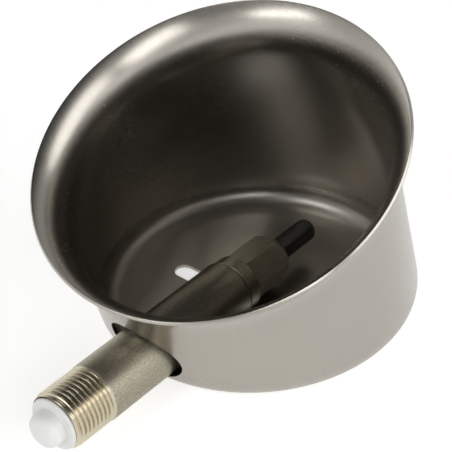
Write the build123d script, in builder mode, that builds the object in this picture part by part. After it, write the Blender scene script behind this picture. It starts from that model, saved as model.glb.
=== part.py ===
"""Wall drinking bowl for piglets, with a push-pin valve. Millimetres.

The bowl lies on its flat wall face: z = 0 is that face, +Z points out of the wall into the bowl.
The valve axis runs along X, with the water inlet at -X and the drinking pin at +X.
"""

import math
import os

from build123d import *

os.makedirs("parts", exist_ok=True)

# --- bowl: a deep-drawn sheet cup whose wall leans and whose mouth is tilted ---
sheet = 1.2  # sheet thickness
wall_lean = 16.34  # degrees, the cup's wall axis leans towards -X
wall_draft = 0.67  # degrees, the wall opens towards the mouth
base_corner = 5.6  # outer radius between wall and floor
neck_radius = 56.64  # outer radius of the wall just below the lip
lip_width = 8.05  # from the neck out to the edge of the flared lip
rim_centre_x = -22.37
rim_centre_z = 71.21
rim_tilt = 23.67  # degrees, the mouth rises towards +X
lip_bend = 6.0  # radius of the bend from wall to flare, on the outer skin
lip_flare = 42.0  # degrees the lip turns out of the wall

# --- valve axis and pipe ---
pipe_radius = 10.65  # half-inch pipe
thread_radius = 10.48  # major radius of the half-inch pipe thread
pipe_bore = 8.0
socket_radius = 9.1  # bore end that takes the valve head
socket_depth = 16.0
inlet_x = -104.1  # end face of the threaded end
thread_start_x = -86.6
pipe_end_x = -18.8  # end face that meets the valve head
thread_chamfer = 0.6
pipe_end_chamfer = 0.5
pipe_rest_gap = 0.4  # between the pipe and the floor

# --- valve head ---
head_flats = 16.0  # across flats, six sides
head_sides = 6
head_turn = 49.5  # degrees, where the screwed-in head stops
gasket_thickness = 0.5
collar_radius = 10.0
collar_length = 5.4
collar_chamfer = 0.35
head_length = 20.1
nose_length = 3.7  # turned cone at the outlet end of the flats
nose_radius = 6.2  # of the outlet face
spigot_length = 14.0
fit_gap = 0.04  # radial gap of pieces that are pressed or screwed together
chamber_radius = 7.6
outlet_radius = 4.9  # at the seat
mouth_radius = 5.6  # at the head's outer face
seat_land = 0.4  # how far inside the collar the seat's shoulder lies

# --- seat, pin and spring ---
seat_thickness = 1.8
ball_radius = 6.5
ball_gap = 0.2  # between the ball and what it rests against
stem_radius = 2.6
pin_radius = 4.15
pin_reach = 19.9  # length of pin that stands out of the head
pin_nose = 2.6  # rounding of the pin's end
sleeve_wall_end = 4.0  # solid nose of the pin sleeve
sleeve_start = 8.0  # from the ball's centre to the sleeve's inner end
follower_length = 7.0
follower_gap = 0.3  # running gap in the chamber
follower_nib_radius = 3.4
follower_nib_length = 3.0
follower_grooves = 6
groove_radius = 1.1
spring_length = 15.0
spring_wire = 0.9
spring_radius = 5.0  # centre line of the wire
spring_turns = 6
spring_end_gap = 0.05

# --- carrier, regulator and strainer inside the pipe ---
carrier_flange = 2.0
carrier_wall = 1.4
carrier_floor = 2.0
carrier_holes = 6
carrier_hole_radius = 1.0
carrier_centre_hole = 2.0
regulator_length = 8.0
regulator_gap = 0.3
orifice_radius = 1.5
driver_slot_width = 1.6
driver_slot_depth = 2.0
ring_section = 1.1  # radius of the rubber ring's section
ring_squeeze = 0.05
strainer_length = 25.0
strainer_end = 2.5
strainer_ribs = 4
rib_width = 2.0
rib_depth = 1.4
screen_thickness = 0.4
snap_width = 1.2
snap_depth = 0.6  # depth of the ring's groove in the bore
snap_height = 1.3
snap_opening = 50.0  # degrees

# --- inlet plug ---
plug_fit = 0.08  # running gap of the plug in the bore
plug_face_gap = 0.05
plug_depth = 9.5
plug_wall = 1.6
plug_flange_radius = 9.4
plug_flange = 1.2
knob_radius = 6.2
knob_length = 5.8
knob_rounding = 3.0

# --- lugs, wall opening and wall slots ---
lug_thickness = 1.0
lug_half_width = 12.0
lug_x = -31.5
lug_end_y = 17.1  # centre of the rounded end
lug_split = 4.0  # half the strip left free under the pipe
opening_half_width = 15.2
opening_half_height = 10.6
opening_rise = 1.75  # of the opening's middle above the valve axis
opening_clearance = 0.2  # round the pipe
slot_x = -9.9
slot_width = 7.0
slot_length = 20.0
slot_spacing = 44.0  # centre to centre across Y

# --- places that follow from the sizes above ---
axis_z = sheet + pipe_rest_gap + pipe_radius
lean = math.radians(wall_lean)
tilt = math.radians(rim_tilt)
rim_normal = Vector(-math.sin(tilt), 0, math.cos(tilt))
rim_right = Vector(math.cos(tilt), 0, math.sin(tilt))
flare = math.radians(lip_flare)
rim_radius = neck_radius + lip_width
bend_end_r = neck_radius + lip_bend * (1 - math.cos(flare))
flare_rise = (rim_radius - bend_end_r) / math.tan(flare)
neck_drop = lip_bend * math.sin(flare) + flare_rise  # from the neck up to the lip's edge
neck_centre = Vector(rim_centre_x, 0, rim_centre_z) - rim_normal * neck_drop
neck_plane = Plane(origin=neck_centre, x_dir=rim_right, z_dir=rim_normal)
base_x = neck_centre.Z * math.tan(lean) + neck_centre.X


def wall_section(height, inset):
    """Half axes and centre of the leaning wall's level section, set in by a sheet or not."""
    along = (neck_centre.Z - height) / math.cos(lean)
    radius = neck_radius - along * math.tan(math.radians(wall_draft)) - inset
    return base_x - height * math.tan(lean), radius / math.cos(lean), radius


head_x = pipe_end_x + gasket_thickness  # face of the collar
face_x = head_x + collar_length + head_length  # outlet face of the head
seat_x = head_x + collar_length - seat_land  # shoulder that carries the rubber seat
seat_inner = outlet_radius
ball_x = seat_x - seat_thickness - math.sqrt((ball_radius + ball_gap) ** 2 - seat_inner**2)
pin_tip_x = face_x + pin_reach
follower_x = ball_x - 1.5  # open face of the follower
spigot_end_x = head_x - spigot_length
socket_x = pipe_end_x - socket_depth
spring_front_x = follower_x - follower_length
spring_back_x = spring_front_x - spring_length
carrier_end_x = spring_back_x - carrier_floor
regulator_end_x = carrier_end_x - regulator_length
strainer_end_x = regulator_end_x - strainer_length
regulator_radius = pipe_bore - regulator_gap
ring_radius = pipe_bore - ring_squeeze - ring_section

valve_plane = Plane(origin=(0, 0, axis_z), x_dir=(1, 0, 0), z_dir=(0, -1, 0))


def across(x):
    """Plane square to the valve axis at x, facing +X, with its x direction along +Y."""
    return Plane(origin=(x, 0, axis_z), x_dir=(0, 1, 0), z_dir=(1, 0, 0))


def finish(part, label):
    part.label = label
    export_step(part, f"parts/{label}.step")


# --- bowl ---
outer_x, outer_a, outer_b = wall_section(0, 0)
inner_x, inner_a, inner_b = wall_section(sheet, sheet)

with BuildPart() as cavity:
    with BuildSketch(Plane(origin=(inner_x, 0, sheet), x_dir=(1, 0, 0), z_dir=(0, 0, 1))):
        Ellipse(inner_a, inner_b)
    with BuildSketch(neck_plane):
        Circle(neck_radius - sheet)
    loft()
    inner_edge = cavity.edges().filter_by_position(Axis.Z, sheet - 0.01, sheet + 0.01)
    fillet(inner_edge, base_corner - sheet)

with BuildPart() as bowl:
    with BuildSketch(Plane(origin=(outer_x, 0, 0), x_dir=(1, 0, 0), z_dir=(0, 0, 1))):
        Ellipse(outer_a, outer_b)
    with BuildSketch(neck_plane):
        Circle(neck_radius)
    loft()
    outer_edge = bowl.edges().filter_by_position(Axis.Z, -0.01, 0.01)
    fillet(outer_edge, base_corner)
    add(cavity.part, mode=Mode.SUBTRACT)

    # flared lip, turned about the axis of the tilted mouth
    lip_plane = Plane(origin=neck_centre, x_dir=rim_right, z_dir=(0, -1, 0))
    edge_step = (-sheet * math.cos(flare), sheet * math.sin(flare))
    with BuildSketch(lip_plane):
        with BuildLine():
            under_bend = CenterArc((neck_radius + lip_bend, 0), lip_bend, 180, -lip_flare)
            upper_bend = CenterArc((neck_radius + lip_bend, 0), lip_bend + sheet, 180, -lip_flare)
            under_flare = Line(under_bend @ 1, (rim_radius, neck_drop))
            upper_flare = Line(upper_bend @ 1, (rim_radius + edge_step[0], neck_drop + edge_step[1]))
            Line(under_bend @ 0, upper_bend @ 0)
            Line(under_flare @ 1, upper_flare @ 1)
        make_face()
    revolve(axis=Axis(neck_centre, rim_normal))

    # oval opening in the low wall, cut clear of the pipe
    with BuildSketch(across(neck_centre.X - 2 * neck_radius)):
        with Locations((0, opening_rise)):
            Ellipse(opening_half_width, opening_half_height)
        Circle(pipe_radius + opening_clearance)
    extrude(amount=2 * neck_radius, mode=Mode.SUBTRACT)

    # slots in the floor for the wall screws
    with BuildSketch(Plane.XY.offset(-1)):
        with Locations((slot_x, slot_spacing / 2), (slot_x, -slot_spacing / 2)):
            SlotOverall(slot_length, slot_width, rotation=90)
    extrude(amount=sheet + 2, mode=Mode.SUBTRACT)
finish(bowl.part, "bowl")

# --- pipe lugs: two round-ended tabs on the floor, hollowed to the pipe ---
with BuildPart() as pipe_lugs:
    with BuildSketch(Plane.XY.offset(sheet)):
        SlotOverall(2 * (lug_end_y + lug_half_width), 2 * lug_half_width, rotation=90)
        Rectangle(2 * lug_half_width, 2 * lug_split, mode=Mode.SUBTRACT)
    extrude(amount=lug_thickness)
    with BuildSketch(across(-60)):
        Circle(pipe_radius)
    extrude(amount=120, mode=Mode.SUBTRACT)
pipe_lugs.part.locate(Location((lug_x, 0, 0)))
finish(pipe_lugs.part, "pipe_lugs")

# --- valve tube ---
with BuildPart() as valve_tube:
    with BuildSketch(valve_plane):
        with BuildLine():
            Polyline(
                (inlet_x, pipe_bore),
                (inlet_x, thread_radius - thread_chamfer),
                (inlet_x + thread_chamfer, thread_radius),
                (thread_start_x, thread_radius),
                (thread_start_x, pipe_radius),
                (pipe_end_x - pipe_end_chamfer, pipe_radius),
                (pipe_end_x, pipe_radius - pipe_end_chamfer),
                (pipe_end_x, socket_radius),
                (socket_x, socket_radius),
                (socket_x, pipe_bore),
                close=True,
            )
        make_face()
    revolve(axis=Axis((0, 0, axis_z), (1, 0, 0)))
    with BuildSketch(across(strainer_end_x - snap_width - 0.1)):
        Circle(pipe_bore + snap_depth)
    extrude(amount=snap_width + 0.1, mode=Mode.SUBTRACT)
finish(valve_tube.part, "valve_tube")

# --- gasket between pipe and head ---
with BuildPart() as head_gasket:
    with BuildSketch(across(pipe_end_x)):
        Circle(collar_radius - fit_gap)
        Circle(socket_radius, mode=Mode.SUBTRACT)
    extrude(amount=gasket_thickness)
finish(head_gasket.part, "head_gasket")

# --- valve head: spigot, round collar and six-sided body with a turned nose ---
head_corner = head_flats / 2 / math.cos(math.pi / head_sides)
with BuildPart() as valve_head:
    with BuildSketch(across(head_x + collar_length)):
        RegularPolygon(head_corner, head_sides, rotation=head_turn)
    extrude(amount=head_length)
    # cone turned on the outlet end of the flats
    with BuildSketch(valve_plane):
        with BuildLine():
            Polyline(
                (head_x + collar_length, 0),
                (head_x + collar_length, head_corner),
                (face_x - nose_length, head_corner),
                (face_x, nose_radius),
                (face_x, 0),
                close=True,
            )
        make_face()
    revolve(axis=Axis((0, 0, axis_z), (1, 0, 0)), mode=Mode.INTERSECT)
    with BuildSketch(across(head_x)):
        Circle(collar_radius)
    collar = extrude(amount=collar_length)
    chamfer(collar.edges().group_by(Axis.X)[0], collar_chamfer)
    with BuildSketch(across(spigot_end_x)):
        Circle(socket_radius - fit_gap)
    extrude(amount=spigot_length)
    # chamber, seat shoulder and flared outlet
    with BuildSketch(valve_plane):
        with BuildLine():
            Polyline(
                (spigot_end_x, 0),
                (spigot_end_x, chamber_radius),
                (seat_x, chamber_radius),
                (seat_x, outlet_radius),
                (face_x, mouth_radius),
                (face_x, 0),
                close=True,
            )
        make_face()
    revolve(axis=Axis((0, 0, axis_z), (1, 0, 0)), mode=Mode.SUBTRACT)
finish(valve_head.part, "valve_head")

# --- rubber seat ---
with BuildPart() as seat_ring:
    with BuildSketch(across(seat_x - seat_thickness)):
        Circle(chamber_radius - fit_gap)
        Circle(seat_inner, mode=Mode.SUBTRACT)
    extrude(amount=seat_thickness)
finish(seat_ring.part, "seat_ring")

# --- ball-headed valve stem ---
stem_end_x = pin_tip_x - sleeve_wall_end
with BuildPart() as valve_stem:
    with Locations((ball_x, 0, axis_z)):
        Sphere(ball_radius)
    with BuildSketch(across(ball_x)):
        Circle(stem_radius)
    extrude(amount=stem_end_x - ball_x)
finish(valve_stem.part, "valve_stem")

# --- pin sleeve: the round-nosed pin that the animal pushes ---
with BuildPart() as pin_sleeve:
    with BuildSketch(across(ball_x + sleeve_start)):
        Circle(pin_radius)
    extrude(amount=pin_tip_x - ball_x - sleeve_start)
    fillet(pin_sleeve.edges().group_by(Axis.X)[-1], pin_nose)
    with BuildSketch(across(ball_x + sleeve_start)):
        Circle(stem_radius + fit_gap)
    extrude(amount=stem_end_x - ball_x - sleeve_start, mode=Mode.SUBTRACT)
finish(pin_sleeve.part, "pin_sleeve")

# --- spring follower: a cup with a ball socket, grooved for the water ---
with BuildPart() as spring_follower:
    with BuildSketch(across(spring_front_x)):
        Circle(chamber_radius - follower_gap)
    extrude(amount=follower_length)
    with BuildSketch(across(spring_front_x - follower_nib_length)):
        Circle(follower_nib_radius)
    extrude(amount=follower_nib_length)
    with Locations((ball_x, 0, axis_z)):
        Sphere(ball_radius + ball_gap, mode=Mode.SUBTRACT)
    with BuildSketch(across(spring_front_x)):
        with PolarLocations(chamber_radius, follower_grooves):
            Circle(groove_radius)
    extrude(amount=follower_length, mode=Mode.SUBTRACT)
finish(spring_follower.part, "spring_follower")

# --- return spring ---
coil_length = spring_length - spring_wire - 2 * spring_end_gap
with BuildPart() as return_spring:
    with BuildLine() as coil:
        Helix(
            coil_length / spring_turns,
            coil_length,
            spring_radius,
            center=(spring_back_x + spring_end_gap + spring_wire / 2, 0, axis_z),
            direction=(1, 0, 0),
        )
    with BuildSketch(Plane(origin=coil.line @ 0, z_dir=coil.line % 0)):
        Circle(spring_wire / 2)
    sweep(path=coil.line, is_frenet=True)
finish(return_spring.part, "return_spring")

# --- spring carrier: flanged basket clamped between pipe shoulder and head ---
carrier_radius = pipe_bore - plug_fit
with BuildPart() as spring_carrier:
    with BuildSketch(across(socket_x)):
        Circle(socket_radius - fit_gap)
    extrude(amount=carrier_flange)
    with BuildSketch(across(carrier_end_x)):
        Circle(carrier_radius)
    extrude(amount=socket_x - carrier_end_x)
    with BuildSketch(across(spring_back_x)):
        Circle(carrier_radius - carrier_wall)
    extrude(amount=socket_x + carrier_flange - spring_back_x, mode=Mode.SUBTRACT)
    with BuildSketch(across(carrier_end_x)):
        Circle(carrier_centre_hole)
        with PolarLocations((carrier_centre_hole + carrier_radius - carrier_wall) / 2, carrier_holes):
            Circle(carrier_hole_radius)
    extrude(amount=carrier_floor, mode=Mode.SUBTRACT)
finish(spring_carrier.part, "spring_carrier")

# --- flow regulator with its rubber ring ---
groove_x = (carrier_end_x + regulator_end_x) / 2
with BuildPart() as flow_regulator:
    with BuildSketch(across(regulator_end_x)):
        Circle(regulator_radius)
        Circle(orifice_radius, mode=Mode.SUBTRACT)
    extrude(amount=regulator_length)
    with BuildSketch(across(groove_x - ring_section - 0.1)):
        Circle(regulator_radius + 1)
        Circle(ring_radius - ring_section, mode=Mode.SUBTRACT)
    extrude(amount=2 * ring_section + 0.2, mode=Mode.SUBTRACT)
    with BuildSketch(across(regulator_end_x)):
        Rectangle(2 * regulator_radius + 2, driver_slot_width)
    extrude(amount=driver_slot_depth, mode=Mode.SUBTRACT)
finish(flow_regulator.part, "flow_regulator")

with BuildPart() as regulator_ring:
    with BuildSketch(valve_plane):
        with Locations((groove_x, ring_radius)):
            Circle(ring_section)
    revolve(axis=Axis((0, 0, axis_z), (1, 0, 0)))
finish(regulator_ring.part, "regulator_ring")

# --- strainer: ribbed frame around a sieve tube ---
screen_outer = regulator_radius - rib_depth
with BuildPart() as strainer_frame:
    for end_x in (strainer_end_x, regulator_end_x - strainer_end):
        with BuildSketch(across(end_x)):
            Circle(regulator_radius)
            Circle(screen_outer, mode=Mode.SUBTRACT)
        extrude(amount=strainer_end)
    with BuildSketch(across(strainer_end_x)):
        with PolarLocations(screen_outer + rib_depth / 2, strainer_ribs):
            Rectangle(rib_depth - 0.2, rib_width)
    extrude(amount=strainer_length)
finish(strainer_frame.part, "strainer_frame")

with BuildPart() as strainer_screen:
    with BuildSketch(across(strainer_end_x)):
        Circle(screen_outer - fit_gap)
        Circle(screen_outer - fit_gap - screen_thickness, mode=Mode.SUBTRACT)
    extrude(amount=strainer_length)
    with BuildSketch(across(strainer_end_x)):
        Circle(screen_outer - fit_gap)
    extrude(amount=screen_thickness)
finish(strainer_screen.part, "strainer_screen")

# --- snap ring that keeps the strainer in the bore ---
with BuildPart() as snap_ring:
    with BuildSketch(across(strainer_end_x - snap_width)):
        Circle(pipe_bore + snap_depth - fit_gap)
        Circle(pipe_bore + snap_depth - snap_height, mode=Mode.SUBTRACT)
        with BuildLine():
            mouth = PolarLine((0, 0), 2 * pipe_bore, snap_opening / 2)
            far = PolarLine((0, 0), 2 * pipe_bore, -snap_opening / 2)
            Line(mouth @ 1, far @ 1)
        make_face(mode=Mode.SUBTRACT)
    extrude(amount=snap_width)
finish(snap_ring.part, "snap_ring")

# --- inlet plug: hollow stem, flange and knob ---
plug_x = inlet_x - plug_face_gap  # flange face towards the pipe
with BuildPart() as inlet_plug:
    with BuildSketch(across(plug_x)):
        Circle(pipe_bore - plug_fit)
        Circle(pipe_bore - plug_fit - plug_wall, mode=Mode.SUBTRACT)
    extrude(amount=plug_depth)
    with BuildSketch(across(plug_x - plug_flange)):
        Circle(plug_flange_radius)
    extrude(amount=plug_flange)
    with BuildSketch(across(plug_x - plug_flange - knob_length)):
        Circle(knob_radius)
    extrude(amount=knob_length)
    fillet(inlet_plug.edges().group_by(Axis.X)[0], knob_rounding)
finish(inlet_plug.part, "inlet_plug")
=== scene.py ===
"""Wall drinking bowl with its push-pin valve: surfaces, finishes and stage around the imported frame.

Metres. The bowl lies on its wall face at z = 0; the valve axis runs along X, pin at +X.
"""

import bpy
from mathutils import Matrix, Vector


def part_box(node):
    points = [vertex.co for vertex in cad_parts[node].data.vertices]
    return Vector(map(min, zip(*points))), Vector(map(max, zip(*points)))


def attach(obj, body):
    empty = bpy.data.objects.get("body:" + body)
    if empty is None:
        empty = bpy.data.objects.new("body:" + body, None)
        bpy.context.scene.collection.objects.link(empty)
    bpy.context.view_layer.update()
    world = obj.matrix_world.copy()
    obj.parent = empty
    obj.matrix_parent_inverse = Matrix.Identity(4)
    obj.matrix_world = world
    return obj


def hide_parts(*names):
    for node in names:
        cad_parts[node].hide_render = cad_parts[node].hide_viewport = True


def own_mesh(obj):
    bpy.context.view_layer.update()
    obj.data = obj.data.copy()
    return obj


bl_info = {
    "name": "Wall Drinking Bowl",
    "version": (1, 0, 0),
    "blender": (4, 5, 0),
    "location": "View3D > Sidebar > Drinker",
    "description": "Builds the surfaces and finishes of a piglet drinking bowl around its fixed frame",
    "category": "Add Mesh",
}

import math

import bmesh
import bpy
import numpy as np
from mathutils import Matrix, Vector

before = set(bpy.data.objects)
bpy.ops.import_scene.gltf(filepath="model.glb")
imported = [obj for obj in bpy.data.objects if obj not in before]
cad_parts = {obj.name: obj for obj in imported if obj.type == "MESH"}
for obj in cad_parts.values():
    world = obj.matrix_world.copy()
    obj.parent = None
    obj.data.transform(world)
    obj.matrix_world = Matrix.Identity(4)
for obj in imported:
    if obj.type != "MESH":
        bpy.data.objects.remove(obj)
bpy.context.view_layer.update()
MM = 0.001
TURN = 2 * math.pi
BREAK_EDGE = 0.3 * MM  # where a turned edge is broken
SHEET_EDGE = 0.22 * MM  # how far the rounding of a cut sheet edge reaches


# ---------------------------------------------------------------- properties

def length(name, description, millimetres):
    """A size in metres, written here in millimetres."""
    return bpy.props.FloatProperty(
        name=name, description=description, default=millimetres * MM, min=0, precision=5, unit="LENGTH"
    )


def place(name, description, millimetres):
    """A coordinate in metres, written here in millimetres."""
    return bpy.props.FloatProperty(
        name=name, description=description, default=millimetres * MM, precision=5, unit="LENGTH"
    )


def angle(name, description, degrees):
    """An angle, written here in degrees."""
    return bpy.props.FloatProperty(
        name=name, description=description, default=math.radians(degrees), unit="ROTATION"
    )


def colour(name, description, default):
    """A linear colour."""
    return bpy.props.FloatVectorProperty(
        name=name, description=description, default=default, size=3, min=0, max=1, subtype="COLOR"
    )


def share(name, description, default):
    """A number from 0 to 1."""
    return bpy.props.FloatProperty(
        name=name, description=description, default=default, min=0, max=1, subtype="FACTOR"
    )


class DrinkerBowl(bpy.types.PropertyGroup):
    """Sizes of the drawn bowl and its lugs."""

    sheet: length("Sheet", "Thickness of the bowl's steel", 1.2)
    lean: angle("Lean", "Lean of the wall towards the inlet", 16.34)
    draft: angle("Draft", "Opening of the wall towards the mouth", 0.67)
    base_corner: length("Base Corner", "Outer radius between wall and floor", 8.5)
    neck_radius: length("Neck Radius", "Outer radius of the wall below the lip", 56.64)
    lip_width: length("Lip Width", "From the neck out to the edge of the flared lip", 8.05)
    rim_x: place("Rim X", "Centre of the lip's edge along the valve", -22.37)
    rim_z: place("Rim Height", "Height of the centre of the lip's edge", 71.11)
    rim_tilt: angle("Rim Tilt", "Rise of the mouth towards the pin", 23.67)
    lip_flare: angle("Lip Flare", "How far the lip's edge turns out of the wall", 50.0)
    opening_half_width: length("Opening Half Width", "Half the width of the oval for the pipe", 15.2)
    opening_half_height: length("Opening Half Height", "Half the height of the oval", 10.6)
    opening_rise: length("Opening Rise", "Middle of the oval above the valve's axis", 1.75)
    opening_clearance: length("Opening Clearance", "Gap round the pipe", 0.2)
    slot_x: place("Slot X", "Place of the screw slots along the valve", -9.9)
    slot_width: length("Slot Width", "Width of a screw slot", 7.0)
    slot_length: length("Slot Length", "Length of a screw slot", 20.0)
    slot_spacing: length("Slot Spacing", "From one slot's centre to the other's", 44.0)
    lug_thickness: length("Lug Thickness", "Thickness of the pipe lugs", 1.0)
    lug_half_width: length("Lug Half Width", "Half the width of the pipe lugs", 12.0)
    lug_x: place("Lug X", "Place of the pipe lugs along the valve", -31.5)
    lug_end_y: length("Lug End", "Centre of the lug's rounded end", 17.1)
    bead: length("Weld Bead", "Width of the weld between lug and pipe", 1.6)


class DrinkerValve(bpy.types.PropertyGroup):
    """Sizes of the pipe, head, pin and plug."""

    axis_z: length("Axis Height", "Height of the valve's axis over the wall face", 12.25)
    pipe_radius: length("Pipe Radius", "Outer radius of the pipe", 10.65)
    pipe_bore: length("Pipe Bore", "Bore radius of the pipe", 8.0)
    socket_radius: length("Socket Radius", "Bore radius where the head screws in", 9.1)
    socket_x: place("Socket X", "Shoulder of the socket", -34.8)
    thread_radius: length("Thread Radius", "Major radius of the pipe thread", 10.48)
    thread_pitch: length("Thread Pitch", "Pitch of the pipe thread", 1.814)
    thread_depth: length("Thread Depth", "Depth of the pipe thread", 1.16)
    inlet_x: place("Inlet X", "End face of the threaded end", -104.1)
    thread_x: place("Thread X", "Where the thread begins", -86.6)
    pipe_end_x: place("Pipe End X", "End face that meets the head", -18.8)
    pipe_end_chamfer: length("Pipe End Chamfer", "Chamfer of the pipe's end at the head", 0.5)
    gasket: length("Gasket", "Thickness of the joint ring", 0.5)
    gasket_recess: length("Gasket Recess", "How far the joint ring stays inside the collar", 0.04)
    collar_radius: length("Collar Radius", "Radius of the head's round collar", 10.0)
    collar_length: length("Collar Length", "Length of the collar", 5.4)
    collar_chamfer: length("Collar Chamfer", "Chamfer of the collar beside the joint ring", 0.35)
    head_flats: length("Head Flats", "Width across the head's six flats", 16.0)
    head_turn: angle("Head Turn", "Where the screwed-in head stops", 49.5)
    head_length: length("Head Length", "Length of the six-sided part with its nose", 20.1)
    nose_length: length("Nose Length", "Length of the cone turned on the outlet end", 3.7)
    nose_radius: length("Nose Radius", "Radius of the outlet face", 6.2)
    spigot: length("Spigot", "Length of the head inside the pipe", 14.0)
    spigot_radius: length("Spigot Radius", "Radius of the head inside the pipe", 9.06)
    chamber_radius: length("Chamber Radius", "Bore radius around the ball", 7.6)
    seat_x: place("Seat X", "Shoulder that carries the seat", -13.3)
    outlet_radius: length("Outlet Radius", "Bore radius at the seat", 4.9)
    mouth_radius: length("Mouth Radius", "Bore radius at the outlet face", 5.6)
    pin_radius: length("Pin Radius", "Radius of the pin", 4.15)
    pin_nose: length("Pin Nose", "Rounding of the pin's end", 2.6)
    stem_radius: length("Stem Radius", "Bore radius of the pin sleeve", 2.64)
    plug_fit: length("Plug Fit", "Gap of the plug in the bore", 0.08)
    plug_gap: length("Plug Gap", "Gap under the plug's flange", 0.05)
    plug_depth: length("Plug Depth", "Length of the plug in the bore", 9.5)
    plug_wall: length("Plug Wall", "Wall of the plug's hollow stem", 1.6)
    plug_flange_radius: length("Plug Flange Radius", "Radius of the plug's flange", 9.4)
    plug_flange: length("Plug Flange", "Thickness of the plug's flange", 1.2)
    knob_radius: length("Knob Radius", "Radius of the plug's knob", 6.2)
    knob_length: length("Knob Length", "Length of the plug's knob", 5.8)
    knob_rounding: length("Knob Rounding", "Rounding of the knob's end", 3.0)
    spring_wire: length("Spring Wire", "Diameter of the return spring's wire", 0.9)
    spring_turns: bpy.props.IntProperty(
        name="Spring Turns", description="Turns of the return spring", default=6, min=1
    )
    pin_push: length("Pin Push", "How far the pin can be pushed in", 2.5)


class DrinkerFinish(bpy.types.PropertyGroup):
    """Colours and finishes."""

    bowl: colour("Bowl Steel", "Reflection colour of the drawn steel", (0.378, 0.355, 0.318))
    valve: colour("Valve Steel", "Reflection colour of the blasted steel", (0.31, 0.285, 0.22))
    thread: colour("Thread Steel", "Reflection colour of the cut thread", (0.55, 0.50, 0.385))
    bright: colour("Bright Steel", "Reflection colour of turned small parts", (0.72, 0.71, 0.69))
    pin: colour("Pin", "Colour of the black pin", (0.012, 0.011, 0.010))
    plug: colour("Plug", "Colour of the white plug", (0.95, 0.948, 0.93))
    nylon: colour("Nylon", "Colour of the moulded inner parts", (0.72, 0.72, 0.68))
    rubber: colour("Rubber", "Colour of the seals", (0.03, 0.03, 0.03))
    floor: colour("Floor", "Colour of the studio floor", (0.86, 0.86, 0.85))
    floor_glow: share("Floor Glow", "What the floor adds to look white", 0.6)
    bowl_roughness: share("Bowl Roughness", "Roughness of the drawn steel", 0.25)
    floor_duller: share("Bowl Floor Duller", "Roughness that the bowl's floor has beyond its wall", 0.14)
    valve_roughness: share("Valve Roughness", "Roughness of the blasted steel", 0.4)


class DrinkerStage(bpy.types.PropertyGroup):
    """Camera and light."""

    camera_place: bpy.props.FloatVectorProperty(
        name="Camera Place", description="Where the camera stands", size=3, subtype="TRANSLATION",
        default=(-0.35131, -0.28725, 0.36347), unit="LENGTH",
    )
    camera_turn: angle("Camera Turn", "Heading of the camera about the vertical", -49.168)
    camera_rise: angle("Camera Rise", "How far the camera looks down", 36.401)
    camera_roll: angle("Camera Roll", "Roll of the camera", -1.857)
    focal: bpy.props.FloatProperty(
        name="Focal Length", description="Focal length on a 36 mm sensor", default=129.165, unit="CAMERA"
    )
    floor_size: length("Floor Size", "Side of the studio floor", 6000.0)


# ---------------------------------------------------------------- mesh tools

def grid_object(name, grid, close_rows=False):
    """Mesh of a grid of points, rows by columns by three.

    Each row is a closed ring. close_rows joins the last row to the first; otherwise the first and
    last rows are poles, with all their points in one place, which are merged.
    """
    rows, columns, _ = grid.shape
    index = np.arange(rows * columns).reshape(rows, columns)
    upper = index if close_rows else index[:-1]
    lower = np.roll(index, -1, axis=0) if close_rows else index[1:]
    quads = np.stack([upper, np.roll(upper, -1, axis=1), np.roll(lower, -1, axis=1), lower], axis=-1)
    mesh = bpy.data.meshes.new(name)
    mesh.vertices.add(rows * columns)
    mesh.vertices.foreach_set("co", grid.reshape(-1).astype(np.float32))
    mesh.loops.add(quads.size)
    mesh.loops.foreach_set("vertex_index", quads.reshape(-1).astype(np.int32))
    mesh.polygons.add(quads.size // 4)
    mesh.polygons.foreach_set("loop_start", np.arange(0, quads.size, 4, dtype=np.int32))
    mesh.update(calc_edges=True)
    mesh.validate()
    close_up(mesh)
    thing = bpy.data.objects.new(name, mesh)
    bpy.context.scene.collection.objects.link(thing)
    return thing


def close_up(mesh, apart=1e-7):
    """Merges points in one place, drops faces without area and turns all faces outwards."""
    work = bmesh.new()
    work.from_mesh(mesh)
    bmesh.ops.remove_doubles(work, verts=work.verts, dist=apart)
    bmesh.ops.dissolve_degenerate(work, edges=work.edges, dist=apart)
    bmesh.ops.recalc_face_normals(work, faces=work.faces)
    work.to_mesh(mesh)
    work.free()


def smooth(thing, sharp_degrees=32):
    """Smooth shading, kept sharp where faces meet at more than the given angle."""
    thing.data.shade_smooth()
    thing.data.set_sharp_from_angle(angle=math.radians(sharp_degrees))


def rounded_profile(corners, radii, steps=6):
    """A profile of straight runs whose corners are arcs.

    Each corner's arc is a quadratic rational curve from one tangent point to the other, with the
    corner as control point and the sine of half its angle as weight, which is a circle's arc.
    """
    corners = np.asarray(corners, float)
    before = np.roll(corners, 1, axis=0)
    after = np.roll(corners, -1, axis=0)
    pieces = []
    for corner, last, following, radius in zip(corners, before, after, radii):
        if radius == 0:
            pieces.append(corner[None])
            continue
        back = (last - corner) / np.linalg.norm(last - corner)
        ahead = (following - corner) / np.linalg.norm(following - corner)
        half = math.acos(np.clip(back @ ahead, -1, 1)) / 2
        reach = radius / math.tan(half)
        start, end = corner + back * reach, corner + ahead * reach
        pieces.append(arc_between(corner, start, end, steps, math.sin(half)))
    return np.concatenate(pieces)


def arc_between(corner, start, end, steps, weight):
    """Rational quadratic curve: the three points blended by (1-t)^2, 2 w t (1-t) and t^2."""
    t = np.linspace(0, 1, steps + 1).reshape((-1,) + (1,) * np.ndim(corner))
    parts = (1 - t) ** 2, 2 * weight * t * (1 - t), t**2
    return (parts[0] * start + parts[1] * corner + parts[2] * end) / sum(parts)


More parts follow.
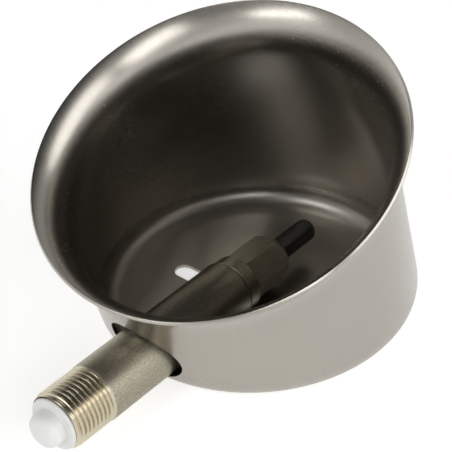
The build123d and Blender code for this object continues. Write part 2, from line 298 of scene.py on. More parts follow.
def turned(name, profile, axis_z, segments=128, close_rows=False):
    """Turns a profile of (x, r) about the valve axis: y = r cos(angle), z = axis + r sin(angle)."""
    around = np.arange(segments) * TURN / segments
    x, r = np.asarray(profile).T
    grid = np.stack(
        [
            np.repeat(x[:, None], segments, axis=1),
            r[:, None] * np.cos(around),
            axis_z + r[:, None] * np.sin(around),
        ],
        axis=-1,
    )
    return grid_object(name, grid, close_rows)


def prism(name, outline, start, travel):
    """Closed prism: an outline and the same outline moved along travel, each closed to a pole."""
    start = np.asarray(start, float)
    bottom = outline + start
    top = bottom + np.asarray(travel, float)
    rings = [np.repeat(r.mean(0)[None], len(r), axis=0) for r in (bottom, top)]
    return grid_object(name, np.stack([rings[0], bottom, top, rings[1]]))


def slot_outline(length_overall, width, along, across, segments=48):
    """Outline of a slot: a circle of half the width, its halves pushed apart along the slot."""
    around = (np.arange(segments) + 0.5) * TURN / segments
    push = (length_overall - width) / 2
    u = width / 2 * np.cos(around) + np.sign(np.cos(around)) * push
    v = width / 2 * np.sin(around)
    return u[:, None] * np.asarray(along, float) + v[:, None] * np.asarray(across, float)


def oval_outline(half_width, half_height, along, across, segments=96):
    """Outline of an ellipse: half_width cos along one way and half_height sin along the other."""
    around = (np.arange(segments) + 0.5) * TURN / segments
    u = half_width * np.cos(around)
    v = half_height * np.sin(around)
    return u[:, None] * np.asarray(along, float) + v[:, None] * np.asarray(across, float)


def cut(thing, cutters):
    """Takes the cutters out of a closed mesh and removes them."""
    for cutter in cutters:
        modifier = thing.modifiers.new("cut", "BOOLEAN")
        modifier.operation = "DIFFERENCE"
        modifier.solver = "EXACT"
        modifier.object = cutter
    bpy.context.view_layer.update()
    shape = bpy.data.meshes.new_from_object(thing.evaluated_get(bpy.context.evaluated_depsgraph_get()))
    thing.modifiers.clear()
    old = thing.data
    thing.data = shape
    bpy.data.meshes.remove(old)
    for cutter in cutters:
        bpy.data.meshes.remove(cutter.data)


def soften_edges(thing, width, segments=2, limit_degrees=30):
    """Small rounded edge, live as a modifier."""
    bevel = thing.modifiers.new("edge_round", "BEVEL")
    bevel.width = width
    bevel.segments = segments
    bevel.limit_method = "ANGLE"
    bevel.angle_limit = math.radians(limit_degrees)
    bevel.harden_normals = True


def place_piece(thing, body, slot, material, *nodes):
    """Rides a finished piece on its body, with its material, in place of CAD nodes; the slot is not used.
    """
    thing.data.materials.clear()
    thing.data.materials.append(material)
    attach(thing, body)
    if nodes:
        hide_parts(*nodes)


# ---------------------------------------------------------------- materials

def put(tree, kind, links=None, values=None, **settings):
    """Adds a shader node: settings are its own, values fill sockets and links feed them."""
    node = tree.nodes.new(kind)
    for key, value in settings.items():
        setattr(node, key, value)
    for key, value in (values or {}).items():
        node.inputs[key].default_value = value
    for key, socket in (links or {}).items():
        tree.links.new(socket, node.inputs[key])
    return node


def new_material(name):
    """An empty material with its Principled shader: returns material, tree and shader."""
    material = bpy.data.materials.new(name)
    material.use_nodes = True
    tree = material.node_tree
    return material, tree, tree.nodes["Principled BSDF"]


def noise(tree, vector, scale, detail=2.0, roughness=0.5):
    """Noise over a vector: returns its factor socket."""
    values = {"Scale": scale, "Detail": detail, "Roughness": roughness}
    return put(tree, "ShaderNodeTexNoise", {"Vector": vector}, values).outputs["Fac"]


def between(tree, factor, low, high, from_low=0.0, from_high=1.0):
    """A factor mapped to the range from low to high."""
    values = {"From Min": from_low, "From Max": from_high, "To Min": low, "To Max": high}
    return put(tree, "ShaderNodeMapRange", {"Value": factor}, values).outputs["Result"]


def tinted(tree, factor, low, high):
    """A colour mixed from low to high by a factor; either end may be a colour or a socket."""
    mix = tree.nodes.new("ShaderNodeMix")
    mix.data_type = "RGBA"
    sockets = {socket.identifier: socket for socket in mix.inputs}
    tree.links.new(factor, sockets["Factor_Float"])
    for end, source in (("A_Color", low), ("B_Color", high)):
        if isinstance(source, bpy.types.NodeSocket):
            tree.links.new(source, sockets[end])
        else:
            sockets[end].default_value = (*source, 1.0)
    return next(socket for socket in mix.outputs if socket.identifier == "Result_Color")


def bumped(tree, shader, height, strength):
    """Feeds a height to the shader's normal; the strength may be a number or a socket."""
    bump = put(tree, "ShaderNodeBump", {"Height": height}, {"Distance": 0.2 * MM})
    if isinstance(strength, bpy.types.NodeSocket):
        tree.links.new(strength, bump.inputs["Strength"])
    else:
        bump.inputs["Strength"].default_value = strength
    tree.links.new(bump.outputs["Normal"], shader.inputs["Normal"])


def shaded(rgb, factor):
    """A colour made lighter or darker."""
    return tuple(min(1.0, c * factor) for c in rgb)


def drawn_steel(finish, bowl):
    """Deep-drawn, satin-polished steel: fine level lines round the wall, slow clouding, dull floor.

    The lines follow the leaning wall: x is first set upright by the lean, and the noise is read at
    (cos, sin) of the angle round the bowl, with height less radius as the third coordinate.
    """
    material, tree, shader = new_material("drawn_steel")
    position = put(tree, "ShaderNodeTexCoord").outputs["Object"]
    parts = put(tree, "ShaderNodeSeparateXYZ", {"Vector": position}).outputs
    upright = put(
        tree, "ShaderNodeMath", {0: parts["Z"], 2: parts["X"]}, {1: math.tan(bowl.lean)},
        operation="MULTIPLY_ADD",
    ).outputs[0]
    level = put(tree, "ShaderNodeCombineXYZ", {"X": upright, "Y": parts["Y"]}).outputs[0]
    radius = put(tree, "ShaderNodeVectorMath", {0: level}, operation="LENGTH").outputs["Value"]
    outward = put(tree, "ShaderNodeVectorMath", {0: level}, operation="NORMALIZE").outputs["Vector"]
    height = put(tree, "ShaderNodeMath", {0: parts["Z"], 1: radius}, operation="SUBTRACT").outputs[0]
    lines_at = put(tree, "ShaderNodeCombineXYZ", {"Z": height}).outputs[0]
    around = put(
        tree, "ShaderNodeVectorMath", {0: outward}, {1: (0.02, 0.02, 0.02)}, operation="MULTIPLY"
    ).outputs[0]
    lines_vector = put(
        tree, "ShaderNodeVectorMath", {0: around, 1: lines_at}, operation="ADD"
    ).outputs[0]
    lines = noise(tree, lines_vector, 1400.0, 3.0, 0.6)
    clouds = noise(tree, position, 28.0, 3.0, 0.55)
    base = shaded(finish.bowl, 0.93), shaded(finish.bowl, 1.05)
    tree.links.new(tinted(tree, clouds, *base), shader.inputs["Base Color"])
    rough = put(tree, "ShaderNodeMath", {0: lines, 1: clouds}, operation="ADD").outputs[0]
    low, high = finish.bowl_roughness * 0.85, finish.bowl_roughness * 1.15
    wall = between(tree, rough, low, high, 0.6, 1.4)
    duller = between(tree, parts["Z"], finish.floor_duller, 0.0, 2 * MM, 10 * MM)
    total = put(tree, "ShaderNodeMath", {0: wall, 1: duller}, operation="ADD").outputs[0]
    tree.links.new(total, shader.inputs["Roughness"])
    shader.inputs["Metallic"].default_value = 1.0
    return material


def blasted_steel(finish, valve):
    """Matte blasted steel: one fine grain gives speckle, roughness and bump, and less on the thread.

    The thread's share is 1 before the thread's end in x and 0 past it, along the pipe.
    """
    material, tree, shader = new_material("blasted_steel")
    position = put(tree, "ShaderNodeTexCoord").outputs["Object"]
    x = put(tree, "ShaderNodeSeparateXYZ", {"Vector": position}).outputs["X"]
    thread = between(tree, x, 1.0, 0.0, valve.thread_x - 0.6 * MM, valve.thread_x + 0.2 * MM)
    grain = noise(tree, position, 2200.0, roughness=0.6)
    speckle = between(tree, grain, 0.0, 1.0, 0.3, 0.7)
    dull = tinted(tree, speckle, shaded(finish.valve, 0.66), shaded(finish.valve, 1.34))
    tree.links.new(tinted(tree, thread, dull, finish.thread), shader.inputs["Base Color"])
    low, high = finish.valve_roughness - 0.05, finish.valve_roughness + 0.08
    rough = between(tree, grain, low, high, 0.3, 0.7)
    smoother = put(tree, "ShaderNodeMath", {0: thread}, {1: -0.2}, operation="MULTIPLY").outputs[0]
    total = put(tree, "ShaderNodeMath", {0: rough, 1: smoother}, operation="ADD").outputs[0]
    tree.links.new(total, shader.inputs["Roughness"])
    shader.inputs["Metallic"].default_value = 1.0
    bumped(tree, shader, grain, between(tree, thread, 0.35, 0.04))
    return material


def plain_metal(name, rgb, roughness):
    """Turned or drawn small metal parts: a fine grain over an even colour."""
    material, tree, shader = new_material(name)
    position = put(tree, "ShaderNodeTexCoord").outputs["Object"]
    grain = noise(tree, position, 900.0)
    tint = tinted(tree, grain, shaded(rgb, 0.94), shaded(rgb, 1.05))
    tree.links.new(tint, shader.inputs["Base Color"])
    tree.links.new(between(tree, grain, roughness - 0.04, roughness + 0.06), shader.inputs["Roughness"])
    shader.inputs["Metallic"].default_value = 1.0
    return material


def moulded(name, rgb, roughness, grain_scale=600.0, bump=0.08, glow=0.0):
    """Moulded plastic or rubber: faint clouding and a fine grain, with some light let through."""
    material, tree, shader = new_material(name)
    position = put(tree, "ShaderNodeTexCoord").outputs["Object"]
    clouds = noise(tree, position, 90.0, 3.0)
    tint = tinted(tree, clouds, shaded(rgb, 0.95), shaded(rgb, 1.03))
    tree.links.new(tint, shader.inputs["Base Color"])
    grain = noise(tree, position, grain_scale)
    tree.links.new(between(tree, grain, roughness - 0.05, roughness + 0.05), shader.inputs["Roughness"])
    bumped(tree, shader, grain, bump)
    if glow:
        shader.inputs["Subsurface Weight"].default_value = glow
        shader.inputs["Subsurface Radius"].default_value = (1.0, 1.0, 1.0)
        shader.inputs["Subsurface Scale"].default_value = 0.004
    return material


# ---------------------------------------------------------------- bowl shape

def bowl_skin(bowl, inset, around):
    """One skin of the bowl from the floor's middle to the lip's edge, as rows of rings.

    At each angle the profile is a floor line, a round corner, the leaning wall line and one wide arc
    that turns the wall out into the lip. The arc is a rational quadratic whose corner lies where the
    wall's line meets the tangent at the edge. inset is 0 for the outer skin and the sheet's
    thickness for the inner one.
    """
    cos, sin = np.cos(around)[:, None], np.sin(around)[:, None]
    normal = np.array([-math.sin(bowl.rim_tilt), 0, math.cos(bowl.rim_tilt)])
    right = np.array([math.cos(bowl.rim_tilt), 0, math.sin(bowl.rim_tilt)])
    outward = cos * right + sin * np.array([0.0, 1.0, 0.0])
    rim = np.array([bowl.rim_x, 0, bowl.rim_z])
    flare = bowl.lip_flare
    flare_way = outward * math.sin(flare) + normal * math.cos(flare)
    flare_inward = normal * math.sin(flare) - outward * math.cos(flare)
    lip_edge = rim + outward * (bowl.neck_radius + bowl.lip_width) + flare_inward * inset
    bend_reach = (bowl.lip_width / (1 - math.cos(flare)) + inset) * math.tan(flare / 2)
    bend_corner = lip_edge - flare_way * bend_reach

    neck_z = bowl.rim_z - bowl.lip_width / math.tan(flare) * normal[2]
    neck_x = bowl.rim_x - bowl.lip_width / math.tan(flare) * normal[0]
    base_x = neck_z * math.tan(bowl.lean) + neck_x
    along = (neck_z - inset) / math.cos(bowl.lean)
    radius = bowl.neck_radius - along * math.tan(bowl.draft) - inset
    middle = np.array([base_x - inset * math.tan(bowl.lean), 0, inset])
    half_x = radius / math.cos(bowl.lean)
    edge = middle + np.concatenate([half_x * cos, radius * sin, 0 * cos], axis=1)
    inward = -np.concatenate([cos / half_x, sin / radius, 0 * cos], axis=1)
    inward /= np.linalg.norm(inward, axis=1, keepdims=True)
    up = bend_corner - edge
    rise = np.linalg.norm(up, axis=1, keepdims=True)
    up /= rise
    half = np.arccos((inward * up).sum(1, keepdims=True)) / 2
    reach = (bowl.base_corner - inset) / np.tan(half)
    floor_end = edge + inward * reach
    corner = arc_between(edge, floor_end, edge + up * reach, 10, np.sin(half))

    floor = middle + np.linspace(0, 1, 16)[:-1, None, None] * (floor_end - middle)
    t = np.linspace(0, 1, 30)[1:, None, None]
    wall = edge + up * (reach + t * (rise - bend_reach - reach))
    half_turn = np.arccos((up * flare_way).sum(1, keepdims=True)) / 2
    bend = arc_between(bend_corner, wall[-1], lip_edge, 32, np.cos(half_turn))[1:]
    return np.concatenate([floor, corner, wall, bend])


def bowl_grid(bowl, segments=256):
    """Both skins of the bowl in one run of rings, joined by the sheet's cut edge.

    The edge is half a superellipse across the sheet: flat in the middle with small round corners.
    """
    around = np.arange(segments) * TURN / segments
    inner = bowl_skin(bowl, bowl.sheet, around)
    outer = bowl_skin(bowl, 0.0, around)
    a, b = inner[-1], outer[-1]
    ahead = inner[-1] - inner[-2]
    ahead /= np.linalg.norm(ahead, axis=1, keepdims=True)
    t = np.linspace(0, math.pi, 12)[1:-1, None, None]
    across = np.sign(np.cos(t)) * np.abs(np.cos(t)) ** 0.45
    proud = np.sin(t) ** 0.45
    nose = (a + b) / 2 + across * (a - b) / 2 + (proud - 1) * ahead * SHEET_EDGE
    inner[-1] -= ahead * SHEET_EDGE
    outer[-1] -= ahead * SHEET_EDGE
    return np.concatenate([inner, nose, outer[::-1]])


class MakeBowl(bpy.types.Operator):
    """Drawn bowl with flared lip, opening for the pipe and two screw slots"""

    bl_idname = "drinker.bowl"
    bl_label = "Bowl"

    def execute(self, context):
        bowl = context.scene.drinker_bowl
        valve = context.scene.drinker_valve
        thing = grid_object("bowl_shell", bowl_grid(bowl))
        clear = valve.pipe_radius + bowl.opening_clearance
        oval = oval_outline(bowl.opening_half_width, bowl.opening_half_height, (0, 1, 0), (0, 0, 1))
        ring = oval_outline(clear, clear, (0, 1, 0), (0, 0, 1))
        outside = bowl.rim_x - 1.5 * bowl.neck_radius
        through = (bowl.rim_x - outside, 0, 0)
        cutters = [
            prism("cutter", oval, (outside, 0, valve.axis_z + bowl.opening_rise), through),
            prism("cutter", ring, (outside, 0, valve.axis_z), through),
        ]
        for hand in (1, -1):
            outline = slot_outline(bowl.slot_length, bowl.slot_width, (0, 1, 0), (1, 0, 0))
            start = (bowl.slot_x, hand * bowl.slot_spacing / 2, -MM)
            cutters.append(prism("cutter", outline, start, (0, 0, bowl.sheet + 2 * MM)))
        cut(thing, cutters)
        smooth(thing)
        finish = context.scene.drinker_finish
        place_piece(thing, "fixture", "bowl_steel", drawn_steel(finish, bowl), "bowl")
        return {"FINISHED"}


class MakeLugs(bpy.types.Operator):
    """Round-ended lugs beside the pipe, with their weld beads"""

    bl_idname = "drinker.lugs"
    bl_label = "Pipe Lugs"

    def execute(self, context):
        bowl = context.scene.drinker_bowl
        valve = context.scene.drinker_valve
        finish = context.scene.drinker_finish
        steel = bpy.data.materials["drawn_steel"]
        top = bowl.sheet + bowl.lug_thickness
        foot = math.sqrt(valve.pipe_radius**2 - (valve.axis_z - top) ** 2)
        outline_length = 2 * (bowl.lug_end_y + bowl.lug_half_width)
        outline = slot_outline(outline_length, 2 * bowl.lug_half_width, (0, 1, 0), (1, 0, 0), 96)
        start = (bowl.lug_x, 0, bowl.sheet)
        lugs = prism("lugs", outline, start, (0, 0, bowl.lug_thickness))
        strip = np.array([(-1, -1, 0), (1, -1, 0), (1, 1, 0), (-1, 1, 0)], float)
        under_pipe = 0.1 * MM
        strip *= (2 * bowl.lug_half_width, foot - under_pipe, 0)
        cut(lugs, [prism("cutter", strip, (bowl.lug_x, 0, 0), (0, 0, 2 * top))])
        smooth(lugs)
        soften_edges(lugs, 0.25 * MM)
        place_piece(lugs, "fixture", "bowl_steel", steel, "pipe_lugs")
        bead = plain_metal("weld_steel", finish.valve, 0.35)
        for hand, side in ((1, "left"), (-1, "right")):
            weld = weld_bead(f"weld_{side}", bowl, foot * hand, top)
            smooth(weld, 60)
            place_piece(weld, "fixture", "bowl_steel", bead)
        return {"FINISHED"}


def weld_bead(name, bowl, y, z, rows=120, columns=16):
    """Bead along x: a flattened circle whose radius ripples with x and tapers to nothing at both ends."""
    t = np.linspace(0, 1, rows)
    x = bowl.lug_x + (t - 0.5) * 2 * (bowl.lug_half_width - MM)
    taper = np.sqrt(np.clip(1 - (2 * t - 1) ** 8, 0, 1))
    ripples, ripple_height, flatness = 14, 0.12, 0.8
    radius = bowl.bead / 2 * taper * (1 + ripple_height * np.abs(np.sin(t * math.pi * ripples)))
    around = np.arange(columns) * TURN / columns
    grid = np.stack(
        [
            np.repeat(x[:, None], columns, axis=1),
            y + radius[:, None] * np.cos(around),
            z + radius[:, None] * flatness * np.sin(around),
        ],
        axis=-1,
    )
    return grid_object(name, grid)


# ---------------------------------------------------------------- valve pieces

def thread_height(phase):
    """Rounded V of a pipe thread: 1 at the crest, 0 at the root, over one pitch of phase."""
    ramp = 1 - np.abs(2 * (phase % 1) - 1)
    return ramp * ramp * (3 - 2 * ramp)


class MakePipe(bpy.types.Operator):
    """Half-inch pipe with its helical thread"""

    bl_idname = "drinker.pipe"
    bl_label = "Pipe"

    def execute(self, context):
        valve = context.scene.drinker_valve
        segments = 160
        around = np.arange(segments) * TURN / segments
        rows_per_turn = 16
        steps = round((valve.thread_x - valve.inlet_x) / valve.thread_pitch * rows_per_turn)
        x = np.linspace(valve.inlet_x, valve.thread_x, steps + 1)[:, None]
        lead = np.clip((x - valve.inlet_x) / valve.thread_pitch, 0, 1)
        run_out = np.clip((valve.thread_x - x) / valve.thread_pitch, 0, 1)
        height = thread_height(x / valve.thread_pitch - around / TURN)
        radius = valve.thread_radius - valve.thread_depth * (1 - height) * run_out
        first_turn_drop = 0.55 * valve.thread_depth
        radius -= (1 - lead) * first_turn_drop * height
        thread = np.stack(
            [
                np.repeat(x, segments, axis=1),
                radius * np.cos(around),
                valve.axis_z + radius * np.sin(around),
            ],
            axis=-1,
        )
        shoulder = 0.25 * MM
        rest = rounded_profile(
            [
                (valve.thread_x + shoulder, valve.pipe_radius),
                (valve.pipe_end_x - valve.pipe_end_chamfer, valve.pipe_radius),
                (valve.pipe_end_x, valve.pipe_radius - valve.pipe_end_chamfer),
                (valve.pipe_end_x, valve.socket_radius),
                (valve.socket_x, valve.socket_radius),
                (valve.socket_x, valve.pipe_bore),
                (valve.inlet_x, valve.pipe_bore),
            ],
            [0, 0.4 * MM, 0.2 * MM, 0.1 * MM, 0.1 * MM, 0.1 * MM, 0.3 * MM],
        )
        body = np.stack(
            [
                np.repeat(rest[:, :1], segments, axis=1),
                rest[:, 1:] * np.cos(around),
                valve.axis_z + rest[:, 1:] * np.sin(around),
            ],
            axis=-1,
        )
        pipe = grid_object("pipe", np.concatenate([thread, body]), close_rows=True)
        smooth(pipe, 50)
        steel = blasted_steel(context.scene.drinker_finish, valve)
        place_piece(pipe, "fixture", "valve_steel", steel, "valve_tube")

        rim = valve.collar_radius - valve.gasket_recess
        ring = rounded_profile(
            [
                (valve.pipe_end_x, rim),
                (valve.pipe_end_x + valve.gasket, rim),
                (valve.pipe_end_x + valve.gasket, valve.socket_radius),
                (valve.pipe_end_x, valve.socket_radius),
            ],
            [0.15 * MM, 0.15 * MM, 0.05 * MM, 0.05 * MM],
        )
        gasket = turned("joint_ring", ring, valve.axis_z, close_rows=True)
        smooth(gasket)
        rubber = moulded("joint_rubber", context.scene.drinker_finish.rubber, 0.6)
        place_piece(gasket, "fixture", "seal_rubber", rubber, "head_gasket")
        return {"FINISHED"}


def head_grid(valve, per_side=20):
    """Six-sided head: at each angle a profile of spigot, collar, flat, turned nose, face and bore.

    The flat's radius is half the flats over the cosine of the angle from the flat's middle, and it
    ends where the nose's cone meets it, so each profile's points depend on the angle.
    """
    count = 6 * per_side
    step = TURN / 6
    from_corner = np.arange(count) * TURN / count
    around = from_corner + valve.head_turn
    apothem = valve.head_flats / 2
    flat = apothem / np.cos(from_corner % step - step / 2)
    corner = apothem / math.cos(step / 2)
    head_x = valve.pipe_end_x + valve.gasket
    body_x = head_x + valve.collar_length
    face_x = body_x + valve.head_length
    nose_x = face_x - valve.nose_length
    flat_end = nose_x + (corner - flat) * valve.nose_length / (corner - valve.nose_radius)
    chamfer = valve.collar_chamfer
    stations = [
        (head_x - valve.spigot, valve.chamber_radius),
        (head_x - valve.spigot, valve.spigot_radius),
        (head_x, valve.spigot_radius),
        (head_x, valve.collar_radius - chamfer),
        (head_x + chamfer, valve.collar_radius),
        (body_x - BREAK_EDGE, valve.collar_radius),
        (body_x, valve.collar_radius - BREAK_EDGE),
        (body_x, flat),
        (flat_end, flat),
        (face_x, valve.nose_radius),
        (face_x, valve.mouth_radius + BREAK_EDGE),
        (face_x - BREAK_EDGE, valve.mouth_radius),
        (valve.seat_x, valve.outlet_radius),
        (valve.seat_x, valve.chamber_radius),
    ]
    x, r = (np.stack([np.broadcast_to(station[k], count) for station in stations]) for k in (0, 1))
    return np.stack([x, r * np.cos(around), valve.axis_z + r * np.sin(around)], axis=-1)


class MakeHead(bpy.types.Operator):
    """Six-sided valve head with collar, turned nose and flared outlet"""

    bl_idname = "drinker.head"
    bl_label = "Valve Head"

    def execute(self, context):
        valve = context.scene.drinker_valve
        head = grid_object("head", head_grid(valve), close_rows=True)
        smooth(head, 20)
        soften_edges(head, 0.2 * MM, 2, 20)
        place_piece(head, "fixture", "valve_steel", bpy.data.materials["blasted_steel"], "valve_head")
        return {"FINISHED"}


class MakePin(bpy.types.Operator):
    """Black round-nosed pin sleeve"""

    bl_idname = "drinker.pin"
    bl_label = "Pin"

    def execute(self, context):
        valve = context.scene.drinker_valve
        finish = context.scene.drinker_finish
        low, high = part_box("pin_sleeve")
        stem_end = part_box("valve_stem")[1].x
        profile = rounded_profile(
            [
                (high.x, 0),
                (high.x, valve.pin_radius),
                (low.x, valve.pin_radius),
                (low.x, valve.stem_radius),
                (stem_end, valve.stem_radius),
                (stem_end, 0),
            ],
            [0, valve.pin_nose, 0.3 * MM, 0.2 * MM, 0, 0],
            12,
        )
        pin = turned("pin", profile, valve.axis_z)
        smooth(pin)
        place_piece(pin, "pin", "pin_black", moulded("black_pin", finish.pin, 0.42), "pin_sleeve")
        return {"FINISHED"}


class MakeSpring(bpy.types.Operator):
    """Return spring: a wire ring carried along a helix"""

    bl_idname = "drinker.spring"
    bl_label = "Return Spring"

    def execute(self, context):
        valve = context.scene.drinker_valve
        low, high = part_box("return_spring")
        wire = valve.spring_wire / 2
        radius = (high.y - low.y) / 2 - wire
        angle = np.linspace(0, valve.spring_turns * TURN, valve.spring_turns * 60 + 1)[:, None]
        x = np.linspace(low.x + wire, high.x - wire, len(angle))[:, None]
        outward = np.concatenate([0 * angle, np.cos(angle), np.sin(angle)], axis=1)
        middle = radius * outward + np.concatenate([x, 0 * x, valve.axis_z + 0 * x], axis=1)
        along = np.gradient(middle, axis=0)
        along /= np.linalg.norm(along, axis=1, keepdims=True)
        across = np.cross(along, outward)
        columns = 16
        turn = (np.arange(columns) * TURN / columns)[:, None]
        ring = outward[:, None] * np.cos(turn) + across[:, None] * np.sin(turn)
        rings = middle[:, None] + wire * ring
        ends = np.repeat(middle[[0, -1], None], columns, axis=1)
        spring = grid_object("return_coil", np.concatenate([ends[:1], rings, ends[1:]]))
        smooth(spring)
        steel = plain_metal("spring_steel", shaded(context.scene.drinker_finish.bright, 0.85), 0.3)
        place_piece(spring, "fixture", "spring_wire", steel, "return_spring")
        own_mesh(spring)
        return {"FINISHED"}


class MakePlug(bpy.types.Operator):
    """White inlet plug: hollow stem, flange and rounded knob"""

    bl_idname = "drinker.plug"
    bl_label = "Inlet Plug"

    def execute(self, context):
        valve = context.scene.drinker_valve
        finish = context.scene.drinker_finish
        seat = valve.inlet_x - valve.plug_gap
        back = seat - valve.plug_flange
        stem = valve.pipe_bore - valve.plug_fit
        profile = rounded_profile(
            [
                (back - valve.knob_length, 0),
                (back - valve.knob_length, valve.knob_radius),
                (back, valve.knob_radius),
                (back, valve.plug_flange_radius),
                (seat, valve.plug_flange_radius),
                (seat, stem),
                (seat + valve.plug_depth, stem),
                (seat + valve.plug_depth, stem - valve.plug_wall),
                (seat, stem - valve.plug_wall),
                (seat, 0),
            ],
            [0, valve.knob_rounding, 0.5 * MM, 0.8 * MM, 0.3 * MM, 0, 0.4 * MM, 0.4 * MM, 0, 0],
            10,
        )
        plug = turned("plug", profile, valve.axis_z)
        smooth(plug)
        white = moulded("white_plug", finish.plug, 0.38, 300.0, 0.05, 0.35)
        place_piece(plug, "plug", "plug_plastic", white, "inlet_plug")
        return {"FINISHED"}


class DressInner(bpy.types.Operator):
    """Finishes for the pieces inside the valve"""

    bl_idname = "drinker.inner"
    bl_label = "Inner Pieces"

    def execute(self, context):
        finish = context.scene.drinker_finish
        turned_steel = plain_metal("turned_steel", finish.bright, 0.25)
        ring_steel = plain_metal("ring_steel", shaded(finish.bright, 0.85), 0.3)
        sieve_steel = plain_metal("sieve_steel", shaded(finish.bright, 0.8), 0.4)
        nylon = moulded("nylon", finish.nylon, 0.5)
        rubber = moulded("seal_rubber", finish.rubber, 0.65)
        coats = {
            "valve_stem": turned_steel,
            "seat_ring": rubber,
            "spring_follower": nylon,
            "spring_carrier": nylon,
            "flow_regulator": nylon,
            "regulator_ring": rubber,
            "strainer_frame": nylon,
            "strainer_screen": sieve_steel,
            "snap_ring": ring_steel,
        }
        for node, material in coats.items():
            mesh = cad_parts[node].data
            mesh.materials.clear()
            mesh.materials.append(material)
        return {"FINISHED"}


# ---------------------------------------------------------------- stage

LAMPS = (  # name, heading and rise in degrees, width and depth in metres, power in watts
    ("key", 168, 45, 0.5, 0.26, 2.0),
    ("low", 168, 9, 0.6, 0.14, 1.5),
    ("side", -66, 32, 1.3, 0.42, 4.0),
    ("front", -128, 24, 0.7, 0.36, 2.6),
)
SKY = ((0.17, 1.5), (0.28, 0.6), (0.6, 0.5), (0.72, 0.04))  # sine of the elevation, brightness


class MakeStage(bpy.types.Operator):
    """Pale floor, soft light and the camera"""

    bl_idname = "drinker.stage"
    bl_label = "Stage"

    def execute(self, context):
        stage = context.scene.drinker_stage
        finish = context.scene.drinker_finish
        self.floor(stage, finish)
        self.world(context.scene)
        self.camera(context.scene, stage)
        for lamp in LAMPS:
            soft_box(*lamp)
        context.scene.view_settings.view_transform = "Standard"
        return {"FINISHED"}

    def floor(self, stage, finish):
        """A flat square just under the wall face."""
        half = stage.floor_size / 2
        corners = np.array([(-half, -half, 0), (half, -half, 0), (half, half, 0), (-half, half, 0)])
        mesh = bpy.data.meshes.new("floor")
        mesh.from_pydata(corners.tolist(), [], [(0, 1, 2, 3)])
        floor = bpy.data.objects.new("floor", mesh)
        bpy.context.scene.collection.objects.link(floor)
        material, tree, shader = new_material("floor")
        shader.inputs["Base Color"].default_value = (*finish.floor, 1.0)
        shader.inputs["Roughness"].default_value = 0.9
        shader.inputs["Specular IOR Level"].default_value = 0.1
        path = put(tree, "ShaderNodeLightPath").outputs
        mirrored = put(
            tree, "ShaderNodeMath", {0: path["Is Glossy Ray"], 1: path["Is Transmission Ray"]},
            operation="MAXIMUM",
        ).outputs[0]
        seen = put(
            tree, "ShaderNodeMath", {0: path["Is Camera Ray"], 1: mirrored}, operation="MAXIMUM"
        ).outputs[0]
        glow = put(
            tree, "ShaderNodeMath", {0: seen}, {1: finish.floor_glow}, operation="MULTIPLY"
        ).outputs[0]
        lit = put(tree, "ShaderNodeEmission", {"Strength": glow})
        both = put(tree, "ShaderNodeAddShader", {0: shader.outputs[0], 1: lit.outputs[0]})
        tree.links.new(both.outputs[0], tree.nodes["Material Output"].inputs["Surface"])
        mesh.materials.append(material)

    def world(self, scene):
        """Bright near the horizon and dim overhead by the sine of the elevation, dimmer towards -X."""
        world = bpy.data.worlds.new("studio")
        world.use_nodes = True
        tree = world.node_tree
        tree.nodes.clear()
        direction = put(tree, "ShaderNodeTexCoord").outputs["Generated"]
        up = put(tree, "ShaderNodeSeparateXYZ", {"Vector": direction}).outputs["Z"]
        ramp = put(tree, "ShaderNodeValToRGB", {"Fac": up})
        stops = ramp.color_ramp.elements
        while len(stops) < len(SKY):
            stops.new(1.0)
        for stop, (sine, level) in zip(stops, SKY):
            stop.position = sine
            stop.color = (level, level, level, 1)
        towards = put(tree, "ShaderNodeSeparateXYZ", {"Vector": direction}).outputs["X"]
        strength = between(tree, towards, 0.5, 1.15, -0.7, 0.1)
        glow = put(tree, "ShaderNodeBackground", {"Color": ramp.outputs["Color"], "Strength": strength})
        put(tree, "ShaderNodeOutputWorld", {"Surface": glow.outputs[0]})
        scene.world = world

    def camera(self, scene, stage):
        """Camera from its place, heading, rise and roll."""
        turn, rise, roll = stage.camera_turn, stage.camera_rise, stage.camera_roll
        back = Vector(
            (math.sin(turn) * math.cos(rise), -math.cos(turn) * math.cos(rise), math.sin(rise))
        )
        right = Vector((math.cos(turn), math.sin(turn), 0))
        up = back.cross(right)
        rolled_right = math.cos(roll) * right + math.sin(roll) * up
        rolled_up = -math.sin(roll) * right + math.cos(roll) * up
        data = bpy.data.cameras.new("camera")
        data.sensor_width = 36.0
        data.lens = stage.focal
        data.clip_start = 0.01
        camera = bpy.data.objects.new("camera", data)
        scene.collection.objects.link(camera)
        turn_matrix = Matrix((rolled_right, rolled_up, back)).transposed().to_4x4()
        camera.matrix_world = Matrix.Translation(stage.camera_place) @ turn_matrix
        scene.camera = camera


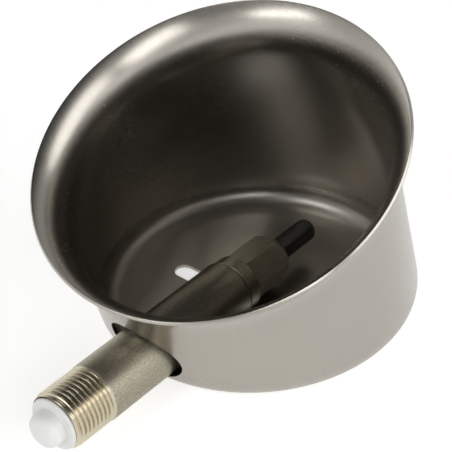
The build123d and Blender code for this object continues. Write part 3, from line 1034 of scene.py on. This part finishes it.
def soft_box(name, heading, rise, width, depth, power, distance=1.2):
    """A rectangular lamp that faces the part from a heading and rise in degrees."""
    data = bpy.data.lights.new(name, "AREA")
    data.shape = "RECTANGLE"
    data.size = width
    data.size_y = depth
    data.energy = power
    lamp = bpy.data.objects.new(name, data)
    bpy.context.scene.collection.objects.link(lamp)
    heading, rise = math.radians(heading), math.radians(rise)
    away = Vector(
        (math.cos(heading) * math.cos(rise), math.sin(heading) * math.cos(rise), math.sin(rise))
    )
    facing = (-away).to_track_quat("-Z", "Y").to_matrix().to_4x4()
    lamp.matrix_world = Matrix.Translation(away * distance) @ facing
    return lamp


# ---------------------------------------------------------------- add-on

OPERATORS = (
    MakeStage, MakeBowl, MakeLugs, MakePipe, MakeHead, MakePin, MakeSpring, MakePlug, DressInner
)
GROUPS = {
    "drinker_bowl": DrinkerBowl,
    "drinker_valve": DrinkerValve,
    "drinker_finish": DrinkerFinish,
    "drinker_stage": DrinkerStage,
}


class DrinkerPanel(bpy.types.Panel):
    """Lists the steps that build the bowl, with their sizes and colours"""

    bl_idname = "VIEW3D_PT_drinker"
    bl_label = "Drinking Bowl"
    bl_space_type = "VIEW_3D"
    bl_region_type = "UI"
    bl_category = "Drinker"

    def draw(self, context):
        for operator in OPERATORS:
            self.layout.operator(operator.bl_idname)
        for name, group in GROUPS.items():
            box = self.layout.box()
            for key in group.__annotations__:
                box.prop(getattr(context.scene, name), key)


def register():
    for group in GROUPS.values():
        bpy.utils.register_class(group)
    for name, group in GROUPS.items():
        setattr(bpy.types.Scene, name, bpy.props.PointerProperty(type=group))
    for operator in OPERATORS:
        bpy.utils.register_class(operator)
    bpy.utils.register_class(DrinkerPanel)


def unregister():
    bpy.utils.unregister_class(DrinkerPanel)
    for operator in reversed(OPERATORS):
        bpy.utils.unregister_class(operator)
    for name, group in GROUPS.items():
        delattr(bpy.types.Scene, name)
        bpy.utils.unregister_class(group)


def main():
    """Registers the add-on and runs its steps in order."""
    register()
    for operator in OPERATORS:
        group, name = operator.bl_idname.split(".")
        getattr(getattr(bpy.ops, group), name)()


if __name__ == "__main__":
    main()
